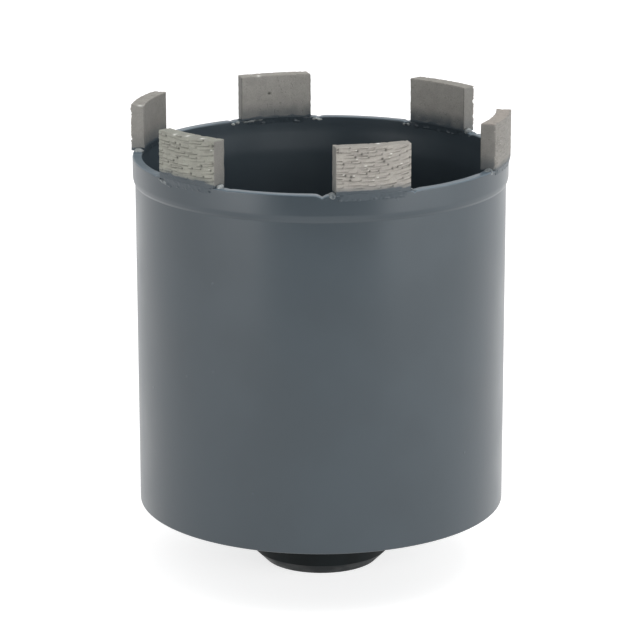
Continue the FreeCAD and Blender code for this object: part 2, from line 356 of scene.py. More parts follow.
def turned(outline, around):
    """A closed ring: a circle is drawn along the outline step by step, and its ends bridged."""
    start_clean()
    radius, height = outline[0]
    bpy.ops.mesh.primitive_circle_add(vertices=around, radius=radius, location=(0, 0, height))
    settle()
    edit_all("EDGE")
    for next_radius, next_height in outline[1:]:
        bpy.ops.mesh.extrude_edges_move(TRANSFORM_OT_translate={"value": (0, 0, next_height - height)})
        ratio = next_radius / radius
        bpy.ops.transform.resize(value=(ratio, ratio, 1), center_override=(0, 0, 0))
        radius, height = next_radius, next_height
    bpy.ops.mesh.select_non_manifold(extend=False)
    bpy.ops.mesh.bridge_edge_loops()
    bpy.ops.mesh.select_all(action="SELECT")
    bpy.ops.mesh.normals_make_consistent(inside=False)
    return settle()


def planned_segments():
    """Number, plan and middle's angle in radians of each segment."""
    sizes = bpy.context.scene.core_bit_segments
    for index, plan in enumerate(PLANS[:sizes.count]):
        yield index + 1, plan, sizes.first + math.tau * index / sizes.count + math.radians(plan.turn)


class Socket:
    """A shader socket. Arithmetic on it adds Math nodes."""

    def __init__(self, shader, socket):
        self.shader = shader
        self.socket = socket

    def math(self, operation, first, second):
        return self.shader.node("ShaderNodeMath", {"operation": operation}, {0: first, 1: second})

    def __add__(self, other):
        return self.math("ADD", self, other)

    def __sub__(self, other):
        return self.math("SUBTRACT", self, other)

    def __rsub__(self, other):
        return self.math("SUBTRACT", other, self)

    def __mul__(self, other):
        return self.math("MULTIPLY", self, other)

    def __gt__(self, other):
        return self.math("GREATER_THAN", self, other)

    __radd__ = __add__
    __rmul__ = __mul__


class Shader:
    """The nodes of one material, or of the world."""

    def __init__(self, name, owners=bpy.data.materials):
        self.owner = owners.new(name)
        self.owner.use_nodes = True
        self.tree = self.owner.node_tree
        self.tree.nodes.clear()
        self.place = self.node("ShaderNodeTexCoord", output="Object")

    def node(self, kind, settings=None, inputs=None, output=0):
        """A new node with its settings, then the values or links of its sockets."""
        node = self.tree.nodes.new(kind)
        for name, value in (settings or {}).items():
            setattr(node, name, value)
        for name, value in (inputs or {}).items():
            if isinstance(value, Socket):
                self.tree.links.new(value.socket, node.inputs[name])
            else:
                node.inputs[name].default_value = value
        return Socket(self, node.outputs[output]) if node.outputs else None

    def noise(self, size, detail=2.0, roughness=0.5, stretch=(1, 1, 1), place=None):
        """Noise with features about one size wide, in metres."""
        place = place or self.place
        if stretch != (1, 1, 1):
            place = self.node("ShaderNodeMapping", inputs={"Vector": place, "Scale": stretch})
        return self.node("ShaderNodeTexNoise", inputs={
            "Vector": place, "Scale": 1 / size, "Detail": detail, "Roughness": roughness})

    def specks(self, size):
        """Distance from scattered points, 0 at a point, with one point per cell of the size."""
        return self.node("ShaderNodeTexVoronoi", inputs={"Vector": self.place, "Scale": 1 / size})

    def step(self, value, low, high):
        """What fade does, for a socket."""
        return self.node("ShaderNodeMapRange", {"interpolation_type": "SMOOTHSTEP"}, {
            "Value": value, "From Min": low, "From Max": high})

    def kept(self, name, output="Fac"):
        return self.node("ShaderNodeAttribute", {"attribute_name": name}, output=output)

    def mix(self, factor, first, second):
        colours = {key: (*value, 1) if isinstance(value, tuple) else value
                   for key, value in ((6, first), (7, second))}
        return self.node("ShaderNodeMix", {"data_type": "RGBA"}, {0: factor, **colours}, output=2)

    def bump(self, *maps):
        """Normal of height maps over each other: each a map, its full depth in mm, its strength."""
        normal = None
        for height, depth, strength in maps:
            inputs = {"Height": height, "Distance": depth * MM, "Strength": strength}
            if normal:
                inputs["Normal"] = normal
            normal = self.node("ShaderNodeBump", inputs=inputs)
        return normal

    def coats(self, tone, base, *coats):
        """The tone under lighter and darker coats, each a share and how many times the base."""
        for share, factor in coats:
            tone = self.mix(share, tone, scaled(base, factor))
        return tone

    def surface(self, **inputs):
        """The shader itself. Constants go straight on its sockets."""
        names = {name.replace("_", " "): value for name, value in inputs.items()}
        shader = self.node("ShaderNodeBsdfPrincipled", inputs=names)
        self.node("ShaderNodeOutputMaterial", inputs={"Surface": shader})
        return self.owner


def colour(name):
    return tuple(getattr(bpy.context.scene.core_bit_colours, name))


def scaled(base, factor):
    return tuple(channel * factor for channel in base)


def paint_material():
    """Satin sprayed paint: faint clouds, orange peel, a few dust nibs, and a painted highlight on the
    rim's top.
    """
    shader = Shader("satin slate paint")
    base = colour("paint")
    cloud = shader.step(shader.noise(18 * MM, 3), 0.35, 0.65)
    nib = shader.step(shader.specks(9 * MM), 0.045, 0.02)
    peel = shader.noise(1.1 * MM, 2)
    grain = shader.noise(0.12 * MM, 2)
    # The last coat is a painted highlight on the rim's top.
    tone = shader.coats(scaled(base, 0.96), base, (cloud, 1.05), (0.3 * nib, 1.5),
                        (0.85 * shader.kept("thin"), 2.9))
    normal = shader.bump((peel, 0.012, 0.5), (grain, 0.004, 0.5), (nib, 0.03, 1.0))
    return shader.surface(Base_Color=tone, Roughness=0.29 + 0.05 * cloud + 0.05 * (grain - 0.5),
                          Normal=normal)


def bead_material():
    """Weld metal under a film of paint, which is bare and bright on its crests."""
    shader = Shader("thinly painted weld")
    worn = shader.step(shader.kept("crest") + 0.7 * (shader.noise(0.9 * MM, 3) - 0.5), 0.25, 1.0)
    tone = shader.mix(worn, colour("paint"), colour("bead"))
    fine = shader.noise(0.35 * MM, 3)
    return shader.surface(Base_Color=tone, Roughness=0.42 - 0.1 * worn, Metallic=0.2 * worn,
                          Normal=shader.bump((fine, 0.05, 0.6)))


def hub_material():
    """Blackened steel with fine turning marks round the axis."""
    shader = Shader("blackened steel")
    base = colour("hub")
    flat = shader.node("ShaderNodeVectorMath", {"operation": "MULTIPLY"},
                       {0: shader.place, 1: (1, 1, 0)})
    radius = shader.node("ShaderNodeVectorMath", {"operation": "LENGTH"}, {0: flat}, output="Value")
    height = shader.node("ShaderNodeSeparateXYZ", inputs={0: shader.place}, output="Z")
    groove = shader.node("ShaderNodeTexNoise", {"noise_dimensions": "1D"}, {
        "W": radius + 1.3 * height, "Scale": 1 / (0.16 * MM), "Detail": 2.0})
    cloud = shader.step(shader.noise(4 * MM, 4), 0.4, 0.62)
    tone = shader.coats(base, base, (cloud, 1.5), (0.35 * shader.step(groove, 0.55, 0.75), 2.2))
    normal = shader.bump((groove, 0.02, 0.55), (shader.noise(0.25 * MM, 2), 0.008, 0.5))
    return shader.surface(Base_Color=tone, Roughness=0.42 + 0.14 * cloud, Normal=normal,
                          Specular_IOR_Level=0.13)


def segment_material():
    """Sintered matrix: a grainy warm grey with painted shade in its pits, painted glints on its grit,
    painted light and shade per face, and paint on its foot.
    """
    shader = Shader("sintered diamond matrix")
    base, sides, coat = colour("sinter"), colour("sinter_side"), colour("paint")
    grain = shader.noise(0.16 * MM, 3, 0.6)
    blotch = shader.noise(2.2 * MM, 4, 0.55)
    cloud = shader.step(blotch, 0.35, 0.65)
    flow = shader.kept("flow", "Vector")
    streak = shader.noise(0.3 * MM, 3, 0.6, (0.28, 1, 1), flow)
    smear = shader.noise(0.5 * MM, 3, 0.6, (0.3, 1, 1), flow)
    ground = shader.kept("ground")
    # Grinding streaks: grooves darker and ridges lighter, partly their own tone and partly painted
    # shade and highlight of their relief.
    groove = shader.step(streak, 0.46, 0.34) * ground
    ridge = shader.step(streak, 0.55, 0.68) * ground
    grit = shader.kept("grit")
    # Scattered pores: sunk by the bump and darkened as painted shade.
    shaded_pore = shader.step(shader.specks(1.1 * MM), 0.17, 0.10) * shader.step(blotch, 0.5, 0.6)
    paint = shader.step(shader.kept("paint") + 0.5 * (smear - 0.5), 0.3, 0.7)
    plain = shader.mix(cloud, sides, scaled(sides, 1.12))
    tone = shader.mix(cloud, scaled(base, 0.92), scaled(base, 1.08))
    # The ridge attribute adds a painted highlight on the tails' top sides.
    tone = shader.coats(
        shader.mix(ground, plain, tone), base,
        (0.25 * groove, 0.5), (0.18 * ridge + 0.3 * shader.kept("ridge"), 1.5),
        (0.2 * shader.step(grain, 0.4, 0.68), 1.3), (0.35 * shader.step(grain, 0.42, 0.3), 0.5),
        (0.3 * shaded_pore, 0.3))
    tone = shader.node("ShaderNodeVectorMath", {"operation": "MULTIPLY"},
                       # Painted light and shade per face and segment, with the outer faces' own tone.
                       {0: tone, 1: shader.kept("tint", "Vector")})
    # Painted shade: creases, pits, pocks and chips go nearly black.
    tone = shader.mix(0.9 * shader.kept("hollow"), tone, (0.032, 0.030, 0.026))
    # Painted glint: grit spots go near white, and glossier below.
    tone = shader.mix(grit, tone, (0.88, 0.88, 0.84))
    # Overspray with painted shade, then the paint itself.
    tone = shader.coats(tone, coat, (shader.kept("mist"), 1.05), (paint, 1.0))
    dull = 1 - paint
    rough = 0.42 + dull * (0.26 + 0.1 * (blotch - 0.5)) - 0.3 * grit
    normal = shader.bump((grain, 0.03, 0.7), (ridge - groove, 0.035, 0.8), (shaded_pore, -0.08, 0.8),
                         (paint, 0.03, 0.6))
    return shader.surface(Base_Color=tone, Roughness=rough, Metallic=0.1 * dull, Normal=normal)


def sink_rim_ends(piece):
    """Melt small dips into the rim's top beside both ends of each segment, and mark the rim's top band
    for a painted highlight.
    """
    points = points_of(piece)
    x, y, z = points.T
    top = RIM_TOP / MM
    reach = bpy.context.scene.core_bit_segments.width / MM / 2
    middle = (RIM_RADIUS - bpy.context.scene.core_bit_barrel.wall / 2) / MM
    bearing = np.arctan2(y, x)
    drop = np.zeros(len(points))
    for _, plan, angle in planned_segments():
        for side, gap, depth, spread in plan.dips:
            away = (bearing - angle - side * (reach + gap) / middle + math.pi) % math.tau - math.pi
            drop += depth * np.exp(-np.abs(away * middle / spread) ** 1.4)
    drop += 0.05 * np.clip(unevenness(points, 2.5, 42), 0, 1)
    # Painted highlight: the top 0.3 mm of the rim is marked to be lightened.
    store(piece, "thin", fade(z, top - 0.3, top - 0.08))
    z -= drop * fade(z, top - 1.6, top - 0.2)
    place_points(piece, points)


class OBJECT_OT_core_bit_barrel(bpy.types.Operator):
    """Add the painted tube with its pressed-out rim and the weld dips in it"""
    bl_idname = "object.core_bit_barrel"
    bl_label = "Barrel"

    def execute(self, context):
        sizes = context.scene.core_bit_barrel
        rim_inner = RIM_RADIUS - sizes.wall
        tube_outer = RIM_RADIUS - sizes.rim_expansion
        tube_inner = tube_outer - sizes.wall
        band_foot = RIM_TOP - sizes.band
        cone_foot = band_foot - sizes.shoulder
        down = [index * 0.25 * MM for index in range(2, 9)]
        outline = rounded([
            (tube_inner, TUBE_FOOT, 0.12 * MM),
            (tube_outer, TUBE_FOOT, sizes.foot_edge),
            (tube_outer, cone_foot, sizes.crease),
            (RIM_RADIUS - 0.38 * sizes.rim_expansion, cone_foot + 0.42 * sizes.shoulder, sizes.waist),
            (RIM_RADIUS, band_foot, sizes.bend),
            *((RIM_RADIUS, RIM_TOP - step, 0) for step in reversed(down)),
            (RIM_RADIUS, RIM_TOP, sizes.rim_edge),
            *((RIM_RADIUS - step, RIM_TOP, 0) for step in down[:-2]),
            (rim_inner, RIM_TOP, sizes.rim_edge),
            *((rim_inner, RIM_TOP - step, 0) for step in down),
            (rim_inner, band_foot + sizes.inner_ease, sizes.inner_bend),
            (tube_inner, cone_foot - sizes.inner_ease, sizes.inner_bend),
        ])
        piece = turned(outline, around=1024)
        sink_rim_ends(piece)
        smooth(piece)
        put_on(piece, "painted_barrel", "barrel", paint_material())
        return {"FINISHED"}


class OBJECT_OT_core_bit_disc(bpy.types.Operator):
    """Add the disc that closes the tube"""
    bl_idname = "object.core_bit_disc"
    bl_label = "Disc"

    def execute(self, context):
        hole = context.scene.core_bit_hub.spigot + 0.05 * MM
        outline = rounded([
            (hole, PLATE_UNDERSIDE, 0.15 * MM),
            (PLATE_RADIUS, PLATE_UNDERSIDE, 0.15 * MM),
            (PLATE_RADIUS, PLATE_TOP, 0.5 * MM),
            (hole, PLATE_TOP, 0.2 * MM),
        ])
        piece = turned(outline, around=384)
        smooth(piece)
        put_on(piece, "closing_disc", "base_plate",
               bpy.data.materials["satin slate paint"])
        return {"FINISHED"}


def ring_weld(wall, leg, side, ripple, seed):
    """Fillet weld between the disc's underside and a round wall, with the ripples of its puddle."""
    bulge, lap = 0.12 * leg, 0.06 * leg
    foot = PLATE_UNDERSIDE - leg
    outline = [(wall, PLATE_UNDERSIDE), (wall, foot), (wall + side * lap, foot)]
    for part in (0.1, 0.25, 0.4, 0.5, 0.6, 0.75, 0.9):
        along = lap + (leg - 2 * lap) * part
        swell = bulge * math.sin(math.pi * part)
        outline.append((wall + side * (along + swell), foot + along - swell))
    outline += [(wall + side * leg, PLATE_UNDERSIDE - lap), (wall + side * leg, PLATE_UNDERSIDE)]
    piece = turned(outline, around=1440)
    points = points_of(piece)
    x, y, z = points.T
    bearing, radius = np.arctan2(y, x), np.hypot(x, y)
    reach = 0.45 * leg / MM
    open_side = bell((radius - (wall + side * (leg / 2 + bulge)) / MM) / reach,
                     (z - (foot + leg / 2 - bulge) / MM) / reach)
    count = round(math.tau * wall / ripple)
    wave = (bearing * count / math.tau + 0.5 * open_side
            + 0.35 * unevenness((bearing * wall / MM,), 3.0, seed)) % 1.0
    push = open_side * 0.09 * leg / MM * (0.5 - wave + 0.8 * unevenness(points, 1.4, seed + 1))
    radius += side * push
    x[:], y[:] = radius * np.cos(bearing), radius * np.sin(bearing)
    z -= push
    place_points(piece, points)
    smooth(piece)
    return piece


class OBJECT_OT_core_bit_ring_welds(bpy.types.Operator):
    """Add the two fillet welds under the disc"""
    bl_idname = "object.core_bit_ring_welds"
    bl_label = "Ring welds"

    def execute(self, context):
        sizes = context.scene.core_bit_hub
        tube = context.scene.core_bit_barrel
        tube_inner = RIM_RADIUS - tube.rim_expansion - tube.wall
        piece = ring_weld(tube_inner, sizes.rim_weld_leg, side=-1, ripple=1.5 * MM, seed=5)
        put_on(piece, "disc_weld_bead", "plate_weld",
               bpy.data.materials["satin slate paint"])
        piece = ring_weld(HUB_RADIUS, sizes.weld_leg, side=1, ripple=1.7 * MM, seed=8)
        put_on(piece, "hub_weld_bead", "hub_weld", bpy.data.materials["blackened steel"])
        return {"FINISHED"}


def thread_ridge():
    """The thread's ridge: its section goes up a helix, and the bore's mouths cut its ends off."""
    sizes = bpy.context.scene.core_bit_hub
    root = sizes.thread_root + 0.06 * MM
    turns = math.ceil((HUB_TOP - HUB_END) / sizes.pitch) + 1
    start_clean()
    bpy.ops.mesh.primitive_plane_add(size=1, rotation=(math.pi / 2, 0, 0))
    piece = settle()
    points = points_of(piece)
    x, _, z = points.T
    thick = sizes.pitch * np.where(x > 0, 0.93, 0.26)
    x[:] = np.where(x > 0, root, sizes.thread_crest) / MM
    z[:] = (HUB_END - sizes.pitch / 2 + np.sign(z) * thick / 2) / MM
    place_points(piece, points)
    edit_all("FACE")
    bpy.ops.mesh.delete(type="ONLY_FACE")
    settle()
    modify(piece, "SCREW", axis="Z", angle=math.tau, screw_offset=sizes.pitch, iterations=turns,
           steps=96, render_steps=96)
    edit_all("EDGE")
    bpy.ops.mesh.select_non_manifold(extend=False)
    bpy.ops.mesh.fill_holes(sides=8)
    settle()
    points = points_of(piece)
    x, y, z = points.T
    radius = np.hypot(x, y)
    low, high, mouth = HUB_END / MM, HUB_TOP / MM, sizes.mouth / MM
    height = np.clip(z, low + 0.01, high - 0.01)
    cone = mouth - np.minimum(height - low, high - height)
    wanted = np.maximum(radius, cone + 0.02)
    wanted = np.where((z < low) | (z > high), mouth + 0.1, wanted)
    points[:, :2] *= (wanted / radius)[:, None]
    z[:] = height
    place_points(piece, points)
    face_outwards(piece)
    return piece


class OBJECT_OT_core_bit_hub(bpy.types.Operator):
    """Add the turned hub with its M16 thread"""
    bl_idname = "object.core_bit_hub"
    bl_label = "Hub"

    def execute(self, context):
        sizes = context.scene.core_bit_hub
        ridge = thread_ridge()
        depth = sizes.mouth - sizes.thread_root
        small = 0.12 * MM
        outline = rounded([
            (sizes.mouth, HUB_END, small / 2),
            (HUB_RADIUS - sizes.chamfer, HUB_END, small),
            (HUB_RADIUS, HUB_END + sizes.chamfer, small),
            (HUB_RADIUS, PLATE_UNDERSIDE, 0),
            (sizes.spigot, PLATE_UNDERSIDE, 0),
            (sizes.spigot, HUB_TOP, small),
            (sizes.mouth, HUB_TOP, small / 2),
            (sizes.thread_root, HUB_TOP - depth, 0),
            (sizes.thread_root, HUB_END + depth, 0),
        ], steps=4)
        piece = turned(outline, around=384)
        start_clean(piece, ridge)
        bpy.ops.object.join()
        smooth(piece, angle=math.radians(30))
        put_on(piece, "drive_hub", "hub", hub_material())
        return {"FINISHED"}


def segment_block():
    """Fine-meshed block of a segment's size, before it is curved: across X, through Y, up Z."""
    sizes = bpy.context.scene.core_bit_segments
    height = SEGMENT_TOP - RIM_TOP
    columns, rows, layers = 160, 100, 14
    start_clean()
    bpy.ops.mesh.primitive_grid_add(
        x_subdivisions=columns, y_subdivisions=rows, size=1, rotation=(math.pi / 2, 0, 0))
    settle()
    edit_all("FACE")
    bpy.ops.transform.resize(value=(sizes.width, 1, height), center_override=(0, 0, 0))
    bpy.ops.transform.translate(value=(0, 0, height / 2))
    for _ in range(layers):
        bpy.ops.mesh.extrude_region_move(
            TRANSFORM_OT_translate={"value": (0, (sizes.outer - sizes.inner) / layers, 0)})
    return settle()


def grit_marks(random, plan, width, height):
    """Places of one face's grit as rows (across, up): the plan's own, a few along both ends,
    and scattered ones."""
    places = list(plan.pits) + list(plan.glints)
    for end in (width / 2 - 0.1, 1.2 - width / 2):
        places += [(end, rise + random.uniform(-0.4, 0.4)) for rise in np.arange(1.9, height, 1.35)]
    for _ in range(900):
        if len(places) >= plan.marks:
            break
        spot = (random.uniform(-width / 2 + 0.6, width / 2 - 0.3), random.uniform(1.3, height - 0.1))
        if all(math.hypot((spot[0] - x) / 1.45, (spot[1] - y) / 0.42) > 1 for x, y in places):
            places.append(spot)
    return np.array(places)


def ground_relief(across, up, plan, random, width, height, tallest):
    """Relief in mm of a face ground in use. Each grain shelters a tail behind it, which fades,
    steep below and soft above, and has a pit in front. Returns height; the painted shade of the
    creases and pits; the grain spots that get a painted glint; the painted highlight along the top
    side of each tail; and the distance up from the curled line through the middle of the foot."""
    relief, hollow, grit, ridge = np.zeros((4, len(across)))

    def lift(place):
        return 0.0117 * plan.curl * np.clip(place + 1.0, 0, None) ** 2

    places = grit_marks(random, plan, width, height)
    first_glint = len(plan.pits)
    for index, (x, y) in enumerate(places):
        named = index < first_glint
        bright = first_glint <= index < first_glint + len(plan.glints)
        long = random.uniform(1.0, 3.6) * USUAL_MARKS / plan.marks
        wide = random.uniform(0.2, 0.31)
        tall = tallest * random.uniform(0.45, 1.0)
        behind = x - across
        off = (up - y - lift(across) + lift(x)) / wide
        body = np.clip(1 - behind / long, 0, 1) ** 0.7 * (behind >= 0)
        body += bell(behind / (0.35 * wide)) * (behind < 0)
        section = np.where(off < 0, bell(off / 0.45), bell(off / 1.5))
        relief = np.maximum(relief, tall * body * section)
        # The crease under each tail and the pit ahead of its grain are sunk and get painted shade.
        crease = body * bell((off + 0.8) / 0.34)
        pit = wide * (1.3 if named else 1.0)
        ahead = bell((across - x - 0.5 * pit) / (0.7 * pit), (up - y + 0.3 * pit) / (0.8 * pit))
        deep = 1.0 if named else random.uniform(0.1, 1.0) ** 1.7
        hollow = np.maximum(hollow, random.uniform(0.4, 1.0) * crease)
        hollow = np.maximum(hollow, deep * ahead * (not bright))
        # Painted highlight along the top side of each tail.
        ridge = np.maximum(ridge, random.uniform(0.2, 1.0) * body * bell((off - 0.35) / 0.5))
        # Painted glint: the listed glints and a few other grains get a near-white spot.
        if bright or random.uniform() < 0.05:
            large = random.uniform(0.08, 0.12) if bright else 0.08
            spot = bell((across - x + 0.1) / (2.2 * large), (up - y - 0.12) / large)
            grit = np.maximum(grit, spot * random.uniform(0.35, 0.75))
    return relief - 0.2 * hollow, hollow, grit, ridge, up - lift(across)


def round_corner(first, second, limits, radius, power):
    """Round (power 2) or break (power 1) the corner where two distances reach their limits."""
    over = first - (limits[0] - radius)
    above = second - (limits[1] - radius)
    inside = (over > 0) & (above > 0)
    over, above = np.where(inside, over, 1.0), np.where(inside, above, 1.0)
    ratio = np.maximum(over, above) / (over ** power + above ** power) ** (1 / power)
    return (np.where(inside, limits[0] - radius + over * ratio, first),
            np.where(inside, limits[1] - radius + above * ratio, second))


def wear_segment(piece, plan, angle, seed):
    """Give a block its ground faces, worn edges and painted foot, and curve it onto the rim."""
    sizes = bpy.context.scene.core_bit_segments
    width, height = sizes.width / MM, (SEGMENT_TOP - RIM_TOP) / MM
    thick = (sizes.outer - sizes.inner) / MM
    edge = sizes.edge / MM
    random = np.random.default_rng(seed)
    points = points_of(piece)
    across, through, up = points.T.copy()
    flat = (across, up)
    outside = fade(through, thick - 0.35, thick)
    inside = fade(through, 0.35, 0)
    top = fade(up, height - 0.45, height)
    side, reach, peak = np.sign(across), np.abs(across), up
    ends = fade(reach, width / 2 - 0.4, width / 2)

    relief, hollow, grit, ridge, line = ground_relief(
        across, up, plan, random, width, height, sizes.grit / MM)
    ground = outside * fade(up, 0.4, 1.4) * fade(width / 2 - reach, -0.2, 0.1)
    streaks = unevenness((across * 0.3, line * 2.2), 1.0, seed + 1)
    outward = ground * plan.rough * (relief + 0.04 * streaks)
    hollow = hollow * ground * plan.rough
    dents = fade(unevenness((across * 0.35, up), 0.42, seed + 12), 0.1, 0.9)
    outward -= plan.ragged * outside * dents * fade(reach, width / 2 - 1.4, width / 2 - 0.2)
    pocks = fade(unevenness(flat, 0.32, seed + 2), 0.62, 0.85)
    inward = 0.05 * pocks + 0.02 * (1 + unevenness(flat, 1.6, seed + 3))
    # Pits and pocks in the inner face are sunk and get painted shade.
    for x, y in plan.pits[:4]:
        spot = bell((across - x) / 0.34, (up - y) / 0.26)
        inward += 0.25 * spot
        hollow = np.maximum(hollow, inside * spot)
    hollow = np.maximum(hollow, 0.2 * inside * pocks)

    slot = (across * 0.7, through)
    top_noise = unevenness(slot, 0.4, seed + 4)
    upward = -0.11 * np.clip(top_noise, 0, 1) - 0.015 * (1 + unevenness(slot, 2.2, seed + 5))
    # Sparks are crystals on the top face: raised a little, and given a painted glint.
    crystal = np.zeros(len(points))
    for x, y in plan.sparks:
        crystal = np.maximum(crystal, bell((across - x) / 0.36, (through - y) / 0.55))
    upward = upward * (1 - crystal)
    sideward = -0.03 * (1 + unevenness((through, up), 0.7, seed + 6))
    for x, y, size in plan.chips:
        near = bell((across - x) / size, (up - y) / size, (through - thick) / (1.3 * size))
        outward -= 0.75 * size * near * outside
        upward -= 0.35 * size * near
        # A chip is sunk and its middle gets painted shade.
        hollow = np.maximum(hollow, 0.9 * near ** 2)

    for which, radius, power in plan.corners:
        cut = round_corner(reach, peak, (width / 2, height), radius, power)
        reach, peak = np.where(side == which, cut, (reach, peak))
    half = thick / 2
    depth = np.abs(through - half)
    face = np.sign(through - half)
    worn = edge * (1 + 0.5 * unevenness(points, 0.8, seed + 7))
    reach, depth = round_corner(reach, depth, (width / 2, half), worn, 2)
    peak, depth = round_corner(peak, depth, (height, half), worn * 1.15, 2)
    reach, peak = round_corner(reach, peak, (width / 2, height), worn, 2)

    across = side * (reach + ends * sideward) * (1 + plan.grow[0] / width)
    up = peak + top * upward
    radius = sizes.inner / MM + half + face * depth * (1 + plan.grow[1] / thick)
    radius += outward + inside * inward
    ahead = np.sqrt(radius ** 2 - across ** 2) - plan.inset
    place_points(piece, np.column_stack([*swung(ahead, across, angle), RIM_TOP / MM + up]))

    first, last = plan.border
    border = first + (last - first) * (across / width + 0.5) - 0.25 * (outside <= 0.5)
    border += 0.22 * unevenness((across, through), 1.3, seed + 8)
    border += 0.15 * unevenness((across * 0.3, line * 3), 1.0, seed + 11)
    store(piece, "paint", np.clip(0.5 + (border - up) / 0.9, 0, 1))
    # Overspray on the inner face, darker towards the foot, together with painted shade from the dark
    # inside; a haze of it also lies just above the paint border outside.
    mist = plan.mist * fade(up, 4.4, 0.6) * (1 - outside) * (1 - 0.55 * ends)
    mist = mist + 0.5 * outside * fade(up - border, 1.3, 0.0)
    store(piece, "mist", mist * (1 + 0.25 * unevenness(flat, 1.5, seed + 9)))
    # Painted shade in creases, pits, pocks and chips.
    store(piece, "hollow", np.clip(hollow, 0, 1))
    store(piece, "ground", np.maximum(outside, top) * (1 - 0.5 * ends * (1 - outside)))
    # Painted glints on grains and top-face crystals.
    store(piece, "grit", np.maximum(grit * ground, 0.95 * crystal * top))
    # Painted highlight on the tails' top sides.
    store(piece, "ridge", ridge * ground * plan.rough)
    # Face colour factors per segment: painted light and shade on the end, inner and top faces, and on
    # the outer face its own tone with painted shade.
    ends = ends * (1 - outside) * (1 - top)
    shade = 1 + (plan.end - 1) * ends + (plan.inner - 1) * inside * (1 - ends) * (1 - top)
    shades = shade[:, None] * (1 + np.outer(outside, np.array(plan.tint) - 1))
    shades *= 1 + np.outer(top * (1 - outside), np.array(plan.top) - 1)
    store(piece, "tint", shades)
    store(piece, "flow", MM * np.column_stack([points[:, 0], line, points[:, 1] + 10.0 * seed]))


class OBJECT_OT_core_bit_segments(bpy.types.Operator):
    """Add the diamond segments, each ground and chipped in its own way"""
    bl_idname = "object.core_bit_segments"
    bl_label = "Segments"

    def execute(self, context):
        material = segment_material()
        block = segment_block()
        for number, plan, angle in planned_segments():
            piece = block.copy()
            piece.data = block.data.copy()
            context.collection.objects.link(piece)
            wear_segment(piece, plan, angle, 100 * number)
            face_outwards(piece)
            piece.data.shade_smooth()
            put_on(piece, f"diamond_segment_{number}", f"segment_{number}", material)
        bpy.data.objects.remove(block)
        return {"FINISHED"}


def weld_lump(radius, place, squash):
    """One lump of weld metal at (outwards, across, up) in mm."""
    start_clean()
    bpy.ops.mesh.primitive_ico_sphere_add(
        subdivisions=3, radius=radius * MM, location=[part * MM for part in place])
    lump = bpy.context.active_object
    lump.scale = squash
    return lump


def seam_bar(outer, inner, top, half):
    """The seams on both sides of the rim as one bar through it, which tapers out downwards."""
    start_clean()
    bpy.ops.mesh.primitive_plane_add(size=1, rotation=(math.pi / 2, 0, 0))
    bar = settle()
    points = points_of(bar)
    x, y, z = points.T
    upper = z > 0
    proud = np.where(upper, 0.42, -0.02)
    x[:] = np.where(x > 0, outer + proud, inner - proud)
    z[:] = np.where(upper, top + 0.3, top - 1.4)
    sweep = 2 * math.asin((half - 0.15) / outer)
    y[:] = x * math.sin(sweep / 2)
    x *= math.cos(sweep / 2)
    place_points(bar, points)
    edit_all("VERT")
    bpy.ops.mesh.spin(steps=48, angle=sweep, center=(0, 0, 0), axis=(0, 0, 1))
    settle()
    points = points_of(bar)
    x, y, z = points.T
    radius = np.hypot(x, y)
    tail = fade(np.abs(y), half - 2.8, half - 0.1)
    sunk = np.clip(radius, inner + 0.05, outer - 0.05) / radius
    points[:, :2] *= (1 - tail + tail * sunk)[:, None]
    z -= 0.5 * tail * (z > top)
    place_points(bar, points)
    return bar


def foot_weld(plan, angle, seed):
    """Weld round one segment's foot: a bar through the rim with lumps along it, melted together."""
    wall = bpy.context.scene.core_bit_barrel.wall / MM
    outer, top = RIM_RADIUS / MM, RIM_TOP / MM
    middle, inner = outer - wall / 2, outer - wall
    half = bpy.context.scene.core_bit_segments.width / MM / 2
    random = np.random.default_rng(seed)
    lumps = [seam_bar(outer, inner, top, half)]
    for radius, proud, gap in ((outer, 0.02, 1.2), (inner, -0.02, 3.1)):
        for along in np.arange(1.2 - half, half - 0.8, gap):
            size = random.uniform(0.14, 0.34) * (0.5 + 0.5 * plan.rough)
            spot = along + random.uniform(-0.4, 0.4) * gap
            far = math.sqrt(radius ** 2 - spot ** 2) + proud * random.uniform(0.0, 6.0)
            lumps.append(weld_lump(size, (far, spot, top - random.uniform(0.85, 1.2)), (0.7, 1.7, 0.8)))
    centres = []
    for side, size, outwards, lift, stretch in plan.beads:
        spot = side * (half + 0.55 * size)
        far = math.sqrt(middle ** 2 - spot ** 2) + outwards
        place = (far, spot, top + lift - 0.15)
        lumps.append(weld_lump(size, place, (stretch, 1.1, 0.95)))
        centres.append((*place, size * max(stretch, 1.0) ** 0.8, plan.bare))
    for outwards, first, last, size, share_bare in plan.runs:
        count = max(2, round(abs(last[0] - first[0]) / size))
        for spot, rise in np.linspace(first, last, count):
            far = math.sqrt(middle ** 2 - spot ** 2) + outwards
            rise += random.uniform(-0.3, 0.3) * size
            place = (far, spot, top + rise)
            lumps.append(weld_lump(size * random.uniform(0.75, 1.15), place, (0.8, 1.2, 0.8)))
            centres.append((*place, size, share_bare))
    start_clean(*lumps)
    bpy.ops.object.join()
    piece = settle()
    modify(piece, "REMESH", mode="VOXEL", voxel_size=0.13 * MM)
    modify(piece, "SMOOTH", factor=0.5, iterations=4)
    points = points_of(piece)
    bare = np.zeros(len(points))
    for *place, size, share in centres:
        away = np.linalg.norm(points - place, axis=1)
        bare = np.maximum(bare, share * fade(away, 1.6 * size, 0.75 * size))
    store(piece, "crest", bare * (0.82 + 0.2 * unevenness(points, 0.9, seed + 4)))
    spread = np.column_stack([unevenness(points, 0.6, seed + axis) for axis in range(3)])
    points += 0.05 * spread * (1 + bare)[:, None]
    x, y, _ = points.T
    x[:], y[:] = swung(x, y, angle)
    place_points(piece, points)
    piece.data.shade_smooth()
    return piece


